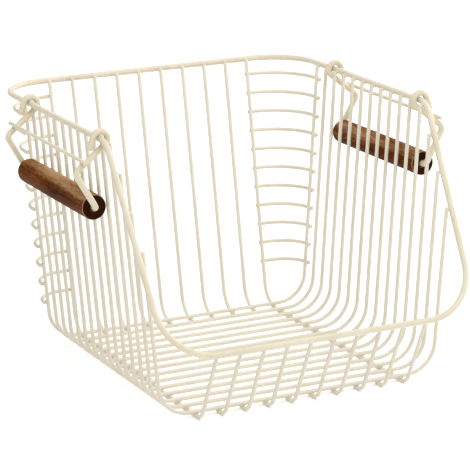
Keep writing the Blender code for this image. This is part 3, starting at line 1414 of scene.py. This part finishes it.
@dataclass(frozen=True)
class WoodGrain(Effect):
    """Turned, stained wood: growth rings cut along the axis, fibres, pores, a painted highlight on the
    rounded edges and end grain.

    Z runs across the plank and Y runs along the grain. The wood is painted lighter towards +Z: partly the
    plank's lighter outer wood, partly painted top light and sheen.
    """

    name: str = "wood_grain"
    figure_stretch: Place = (1.0, 0.12, 1.0)
    fibre_stretch: Place = (1.0, 0.11, 1.0)
    blotch: Noise = Noise(95.0, 2.0)
    drift: Noise = Noise(60.0, 2.0)
    fibre: Noise = Noise(1250.0, 4.0, 0.6)
    pores: Noise = Noise(2100.0, 1.0)
    end_flecks: Noise = Noise(900.0, 3.0)
    ring_scale: float = 95.0
    ring_distortion: float = 3.2
    ring_detail: float = 2.0
    ring_detail_scale: float = 1.6
    # Painted top light: lighter towards +Z, where the light from above falls, partly also the plank's lighter
    # outer wood.
    sapwood_heights: Spread = Spread(-0.0045, 0.0100)
    ring_fading: Spread = Spread(0.35, 0.65, 0.35, 1.0)
    pore_edge: Spread = Spread(0.64, 0.74)
    sapwood_share: float = 0.62
    ring_share: float = 0.15
    pore_share: float = 0.55
    light_in_blotches: Spread = Spread(0.3, 0.7, -0.12, 0.5)
    light_in_fibres: Spread = Spread(0.3, 0.7, -0.22, 0.18)
    dark_to_mid: Spread = Spread(0.0, 0.5)
    mid_to_light: Spread = Spread(0.46, 1.0)
    end_facing: Spread = Spread(0.55, 0.9)
    # Painted highlight: a thin light ring where the rounded end edge catches the light.
    edge_highlight_facing: Spread = Spread(0.08, 0.4)
    edge_highlight_fading: Spread = Spread(0.6, 0.9, 0.75, 0.0)
    dark_in_flecks: Spread = Spread(0.4, 0.75, 0.0, 0.6)
    fibre_roughness: Spread = Spread(0.3, 0.8, 0.40, 0.54)
    end_roughness_share: float = 0.2
    pore_height_share: float = -0.6
    fibre_height_share: float = 0.3
    fleck_height_share: float = 0.5

    def make(self) -> bpy.types.NodeTree:
        """Draws the flank of the grip, its ends and a painted highlight on its edges, and blends them.

        Returns:
            The grain's node group.
        """
        board, given = self.open(
            Vector=SocketKind.VECTOR,
            Normal=SocketKind.VECTOR,
            Light_Wood=SocketKind.COLOUR,
            Mid_Wood=SocketKind.COLOUR,
            Dark_Wood=SocketKind.COLOUR,
            End_Wood=SocketKind.COLOUR,
        )
        light_wood_and_painted_sheen, end_wood = given["Light Wood"], given["End Wood"]
        streaked = board.scaled(given["Vector"], self.fibre_stretch)
        fibre = board.noise(streaked, self.fibre)
        pore = board.spread(board.noise(streaked, self.pores), self.pore_edge)
        lightness = self.lightness(board, given["Vector"], fibre)
        mid_share = board.spread(lightness, self.dark_to_mid)
        dark_side = board.blend(mid_share, given["Dark Wood"], given["Mid Wood"])
        flank = board.blend(board.spread(lightness, self.mid_to_light), dark_side, light_wood_and_painted_sheen)
        flank = board.blend(board.times(pore, self.pore_share), flank, end_wood)
        along = board.maths("ABSOLUTE", board.part(given["Normal"], "Y"))
        end = board.spread(along, self.end_facing)
        # Painted highlight: the light colour laid on the rounded edge of each end.
        edge = board.spread(along, self.edge_highlight_facing)
        painted_edge_highlight = board.times(edge, board.spread(along, self.edge_highlight_fading))
        fleck = board.noise(given["Vector"], self.end_flecks)
        end_colour = board.blend(board.spread(fleck, self.dark_in_flecks), end_wood, given["Dark Wood"])
        colour = board.blend(painted_edge_highlight, board.blend(end, flank, end_colour), light_wood_and_painted_sheen)
        dull_end = board.times(end, self.end_roughness_share)
        roughness = board.plus(board.spread(fibre, self.fibre_roughness), dull_end)
        groove = board.times(pore, self.pore_height_share)
        groove = board.plus(groove, board.times(fibre, self.fibre_height_share))
        height = board.plus(groove, board.times(board.times(fleck, end), self.fleck_height_share))
        board.feed(board.add("NodeGroupOutput"), Colour=colour, Roughness=roughness, Height=height)
        return board.tree

    def lightness(self, board: NodeBoard, vector: Socket, fibre: Socket) -> Socket:
        """How light the flank is, from a lighter side towards +Z that is partly outer wood and partly painted
        top light, blotches, growth rings and fibres.

        Args:
            board: The group's board.
            vector: The place in the plank.
            fibre: The fibres there.

        Returns:
            The lightness, between 0 and 1.
        """
        stretched = board.scaled(vector, self.figure_stretch)
        # Painted top light and sheen on the upper side, partly the plank's lighter outer wood.
        sapwood_and_painted_top_light = board.times(board.spread(board.part(vector, "Z"), self.sapwood_heights), self.sapwood_share)
        blotch = board.spread(board.noise(stretched, self.blotch), self.light_in_blotches)
        rings = board.add("ShaderNodeTexWave", wave_type="BANDS", bands_direction="Z", wave_profile="SIN")
        board.feed(rings, Vector=stretched, Scale=self.ring_scale, Distortion=self.ring_distortion)
        board.feed(rings, Detail=self.ring_detail, Detail_Scale=self.ring_detail_scale)
        fading = board.spread(board.noise(stretched, self.drift), self.ring_fading)
        ring = board.times(board.times(rings.outputs["Fac"], fading), self.ring_share)
        light = board.maths("SUBTRACT", board.plus(sapwood_and_painted_top_light, blotch), ring)
        return board.maths("ADD", light, board.spread(fibre, self.light_in_fibres), clamp=True)


class Finish:
    """A finish that dresses pieces in one material."""

    name: str

    def material(self) -> bpy.types.Material:
        """The material, made on first use."""
        found = bpy.data.materials.get(self.name)
        return found if found is not None else self.make()

    def make(self) -> bpy.types.Material:
        """Builds the material."""
        raise NotImplementedError

    def open(self, **constants: object) -> tuple[bpy.types.Material, NodeBoard, Node]:
        """Makes the material and opens its nodes.

        Args:
            constants: Values for the shader's own sockets.

        Returns:
            The material, a board for its nodes, and its shader.
        """
        made = bpy.data.materials.new(self.name)
        made.use_nodes = True
        board = NodeBoard(made.node_tree)
        return made, board, board.feed(made.node_tree.nodes["Principled BSDF"], **constants)

    def dress(self, piece: Piece) -> None:
        """Makes this the only material of a piece."""
        piece.data.materials.clear()
        piece.data.materials.append(self.material())


@dataclass(frozen=True)
class PowderCoat(Finish):
    """Baked ivory powder coat with a satin gloss."""

    name: str
    colour: Colour = (0.713, 0.648, 0.513)
    thin_colour: Colour = (0.622, 0.550, 0.405)
    peel_scale: float = 1500.0
    peel_depth: float = 0.00006
    peel_strength: float = 0.5
    least_roughness: float = 0.34
    specular_level: float = 0.38

    def make(self) -> bpy.types.Material:
        """Builds the coat with its colour, gloss and peel from the shared skin.

        Returns:
            The material.
        """
        made, board, shader = self.open(Specular_IOR_Level=self.specular_level)
        where = board.add("ShaderNodeTexCoord").outputs["Object"]
        skin = board.add("ShaderNodeGroup", node_tree=CoatSkin().group())
        board.feed(
            skin,
            Vector=where,
            Colour=(*self.colour, 1),
            Thin_Colour=(*self.thin_colour, 1),
            Peel_Scale=self.peel_scale,
            Least_Roughness=self.least_roughness,
        )
        board.surface(shader, skin, self.peel_strength, self.peel_depth)
        return made


@dataclass(frozen=True)
class StainedWood(Finish):
    """Dark stained and oiled wood, each grip cut from another part of the plank."""

    name: str
    along_plank: float
    # Turns the grain about the grip's axis, and with it the painted lighter side.
    turned: float
    # The light colour is lighter wood with painted sheen in it: paler than the wood alone, since the specular
    # is kept near zero.
    light: Colour = (0.434, 0.243, 0.111)
    mid: Colour = (0.1416, 0.0407, 0.0053)
    dark: Colour = (0.0434, 0.0080, 0.0009)
    end: Colour = (0.024, 0.0085, 0.0040)
    grain_depth: float = 0.00012
    grain_strength: float = 0.55
    specular_level: float = 0.01
    axis_at: Place = (0.0, 0.0, 0.0)

    def about(self, axis: Vector) -> "StainedWood":
        """The same wood, with its grain about the axis of a grip."""
        return replace(self, axis_at=(axis.x, self.along_plank, axis.z))

    def make(self) -> bpy.types.Material:
        """Builds the wood with its grain centred on the grip's axis and turned about it.

        Returns:
            The material.
        """
        made, board, shader = self.open(Specular_IOR_Level=self.specular_level)
        place = board.add("ShaderNodeTexCoord").outputs
        moved = board.feed(
            board.add("ShaderNodeMapping", vector_type="TEXTURE"),
            Vector=place["Object"],
            Location=self.axis_at,
            Rotation=(0, self.turned, 0),
        )
        grain = board.add("ShaderNodeGroup", node_tree=WoodGrain().group())
        board.feed(
            grain,
            Vector=moved.outputs[0],
            Normal=place["Normal"],
            Light_Wood=(*self.light, 1),
            Mid_Wood=(*self.mid, 1),
            Dark_Wood=(*self.dark, 1),
            End_Wood=(*self.end, 1),
        )
        board.surface(shader, grain, self.grain_strength, self.grain_depth)
        return made


@dataclass(frozen=True)
class PaleFloor(Finish):
    """A matt pale studio floor with the faintest unevenness."""

    name: str
    colour: Colour = (0.93, 0.93, 0.925)
    shaded: Colour = (0.915, 0.915, 0.91)
    clouds: Noise = Noise(1.5, 2.0)
    shaded_in_clouds: Spread = Spread(0.35, 0.65)
    roughness: float = 0.9
    specular_level: float = 0.1
    lift: float = 0.14

    def make(self) -> bpy.types.Material:
        """Builds the floor's matt surface, which glows a little of its own.

        Returns:
            The material.
        """
        made, board, shader = self.open(Roughness=self.roughness, Specular_IOR_Level=self.specular_level)
        board.feed(shader, Emission_Color=(1, 1, 1, 1), Emission_Strength=self.lift)
        where = board.add("ShaderNodeTexCoord").outputs["Object"]
        clouds = board.spread(board.noise(where, self.clouds), self.shaded_in_clouds)
        board.feed(shader, Base_Color=board.blend(clouds, (*self.colour, 1), (*self.shaded, 1)))
        return made


@dataclass(frozen=True)
class SoftBox:
    """A square soft light: where it hangs, the length of its edge, its watts, tint and aim."""

    name: str
    place: Place
    size: float
    power: float
    tint: Colour = (1.0, 1.0, 1.0)
    aim: Place = (0, 0, 0.1)

    def hang(self) -> None:
        """Hangs the light and turns it to its aim."""
        lamp = bpy.data.lights.new(self.name, "AREA")
        lamp.size = self.size
        lamp.energy = self.power
        lamp.color = self.tint
        light = bpy.data.objects.new(self.name, lamp)
        bpy.context.scene.collection.objects.link(light)
        light.location = self.place
        ray = Vector(self.aim) - Vector(self.place)
        light.rotation_euler = ray.to_track_quat("-Z", "Y").to_euler()


@dataclass
class Studio:
    """Pale floor, soft lights and the camera at the photograph's angle."""

    image_width: int = 470
    focal_pixels: float = 2432.9
    sensor_width: float = 36.0
    azimuth: float = math.radians(-25.65)
    elevation: float = math.radians(15.25)
    roll: float = math.radians(-0.96)
    stand: Place = (-0.8004, -1.6715, 0.6070)
    floor_half: float = 6.0
    room_glow: float = 0.65
    backdrop_glow: float = 1.0
    key_box: SoftBox = SoftBox("key_box", (0, -0.9, 2.0), 1.4, 23.8, (1.0, 0.99, 0.97))
    side_box: SoftBox = SoftBox("side_box", (1.9, 0.2, 1.0), 1.1, 17.2)
    back_box: SoftBox = SoftBox("back_box", (0.3, 1.6, 1.5), 1.4, 7.0)

    def lay_floor(self) -> None:
        """Lays a wide flat floor and stages it."""
        deselect_all()
        bpy.ops.mesh.primitive_plane_add(size=2 * self.floor_half)
        floor = bpy.context.object
        floor.name = "studio_floor"
        PaleFloor("pale_floor").dress(floor)

    def light_room(self) -> None:
        """Sets the white room, brighter where the camera sees it, and its soft boxes."""
        world = bpy.data.worlds.new("white_room")
        world.use_nodes = True
        board = NodeBoard(world.node_tree)
        seen = board.add("ShaderNodeLightPath").outputs["Is Camera Ray"]
        glow = board.spread(seen, Spread(0.0, 1.0, self.room_glow, self.backdrop_glow))
        board.feed(world.node_tree.nodes["Background"], Color=(1, 1, 1, 1), Strength=glow)
        bpy.context.scene.world = world
        for box in (self.key_box, self.side_box, self.back_box):
            box.hang()

    def place_camera(self) -> None:
        """Sets the camera where the photograph was taken from."""
        east, north = math.cos(self.azimuth), math.sin(self.azimuth)
        flat, rise = math.cos(self.elevation), math.sin(self.elevation)
        back = Vector((north * flat, -east * flat, rise))
        level = Vector((east, north, 0))
        upright = back.cross(level)
        across = level * math.cos(self.roll) + upright * math.sin(self.roll)
        upward = upright * math.cos(self.roll) - level * math.sin(self.roll)
        lens = bpy.data.cameras.new("photo_camera")
        lens.sensor_width = self.sensor_width
        lens.lens = self.focal_pixels / self.image_width * self.sensor_width
        camera = bpy.data.objects.new("photo_camera", lens)
        bpy.context.scene.collection.objects.link(camera)
        matrix = Matrix((across, upward, back)).transposed().to_4x4()
        matrix.translation = Vector(self.stand)
        camera.matrix_world = matrix
        bpy.context.scene.camera = camera

    def set_up(self) -> None:
        """Builds the whole studio and keeps its colours plain."""
        self.lay_floor()
        self.light_room()
        self.place_camera()
        bpy.context.scene.view_settings.view_transform = "Standard"


def place_piece(piece: Piece, body: Body, slot: Slot, coat: Finish, *nodes: str) -> None:
    """Gives a piece its finish, its body and the node that it stands for, and logs how they agree.

    Args:
        piece: The finished mesh.
        body: The body that it rides on.
        slot: The record's slot of its finish; not used.
        coat: The finish itself.
        nodes: The nodes that it replaces, if any.
    """
    coat.dress(piece)
    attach(piece, body.value)
    if not nodes:
        log.info("%s added on %s", piece.name, body.value)
        return
    low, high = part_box(nodes[0])
    mine_low = Vector(map(min, zip(*piece.bound_box)))
    mine_high = Vector(map(max, zip(*piece.bound_box)))
    off = max(abs(value) for value in (*(mine_low - low), *(mine_high - high)))
    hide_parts(*nodes)
    report = log.warning if off > PLACE_TOLERANCE else log.info
    off_in_mm = off * MILLIMETRES_PER_METRE
    report("%s replaces %s, boxes agree to %.2f mm", piece.name, nodes[0], off_in_mm)


@dataclass
class ScoopBasket:
    """The whole basket: it builds each sub-assembly in order and dresses its pieces."""

    layout: Layout = Layout()
    bender: WireBender = field(default_factory=WireBender)
    thick_bender: WireBender = field(
        default_factory=lambda: WireBender(sides=28, bend_step=math.radians(5))
    )
    beads: WeldBead = field(default_factory=WeldBead)
    rim_coat: PowderCoat = PowderCoat("ivory_coat_on_rim", peel_scale=1250.0)
    grid_coat: PowderCoat = PowderCoat(
        "ivory_coat_on_grid_wire", (0.711, 0.662, 0.549), (0.655, 0.601, 0.484)
    )
    weld_coat: PowderCoat = PowderCoat("ivory_coat_on_welds", peel_scale=1900.0, least_roughness=0.36)
    bail_coat: PowderCoat = PowderCoat(
        "ivory_coat_on_bails", (0.715, 0.650, 0.500), (0.624, 0.551, 0.392), peel_scale=1250.0
    )
    woods: dict[Side, StainedWood] = field(
        default_factory=lambda: {
            # Each light colour holds lighter wood and painted sheen.
            Side.LEFT: StainedWood(
                "stained_wood_left", -0.4, 0.0, light=(0.462, 0.283, 0.143), mid=(0.166, 0.0515, 0.0072)
            ),
            # The right grip's grain is turned about its axis, which turns its painted lighter side with it.
            Side.RIGHT: StainedWood("stained_wood_right", -1.3, math.radians(-42)),
        }
    )

    def weld_piece(self, name: str, welds: Iterable[Weld]) -> None:
        """Lays the beads of one group of welds on the basket as one piece.

        Args:
            name: Name of the piece.
            welds: The welds of the group.
        """
        piece = join_as(name, [self.beads.lay(weld) for weld in welds])
        place_piece(piece, Body.BASKET, Slot.COAT, self.weld_coat)

    def build_cage(self) -> WallWires:
        """Builds everything that is welded together.

        Returns:
            The wall wires, that the handles hang beside.
        """
        rim = Rim(self.layout)
        walls = WallWires(rim)
        long_wires = LongWires(self.layout)
        corner_wires = CornerWires(walls, long_wires)
        place_piece(rim.build(self.thick_bender), Body.BASKET, Slot.COAT, self.rim_coat, "rim")
        wires = walls.build(self.bender) + long_wires.build_runners(self.bender)
        wires += long_wires.build_back(self.bender) + long_wires.build_front(self.bender)
        wires += corner_wires.build(self.bender)
        for wire in wires:
            place_piece(wire, Body.BASKET, Slot.COAT, self.grid_coat, wire.name.removeprefix("coated_"))
        self.weld_piece("rim_welds", walls.rim_welds() + long_wires.rim_welds())
        self.weld_piece("floor_welds", long_wires.floor_welds())
        self.weld_piece("corner_welds", corner_wires.welds())
        return walls

    def build_handles(self, walls: WallWires) -> None:
        """Hangs a handle on each side.

        Args:
            walls: The wall wires that the handles hang beside.
        """
        bodies = {
            Side.LEFT: (Body.LEFT_HANDLE, Body.LEFT_GRIP),
            Side.RIGHT: (Body.RIGHT_HANDLE, Body.RIGHT_GRIP),
        }
        for side, (handle_body, grip_body) in bodies.items():
            handle = Handle(side, walls, Grip())
            bail = handle.build_bail(self.thick_bender, self.beads)
            place_piece(bail, handle_body, Slot.COAT, self.bail_coat, f"{side.label}_bail")
            wood = self.woods[side].about(handle.grip_axis)
            place_piece(handle.build_grip(), grip_body, Slot.WOOD, wood, f"{side.label}_grip")

    def build(self) -> None:
        """Builds the cage, then the handles."""
        walls = self.build_cage()
        self.build_handles(walls)
        self.beads.discard_pattern()


def main() -> None:
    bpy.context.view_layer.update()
    Studio().set_up()
    ScoopBasket().build()


if __name__ == "__main__":
    main()
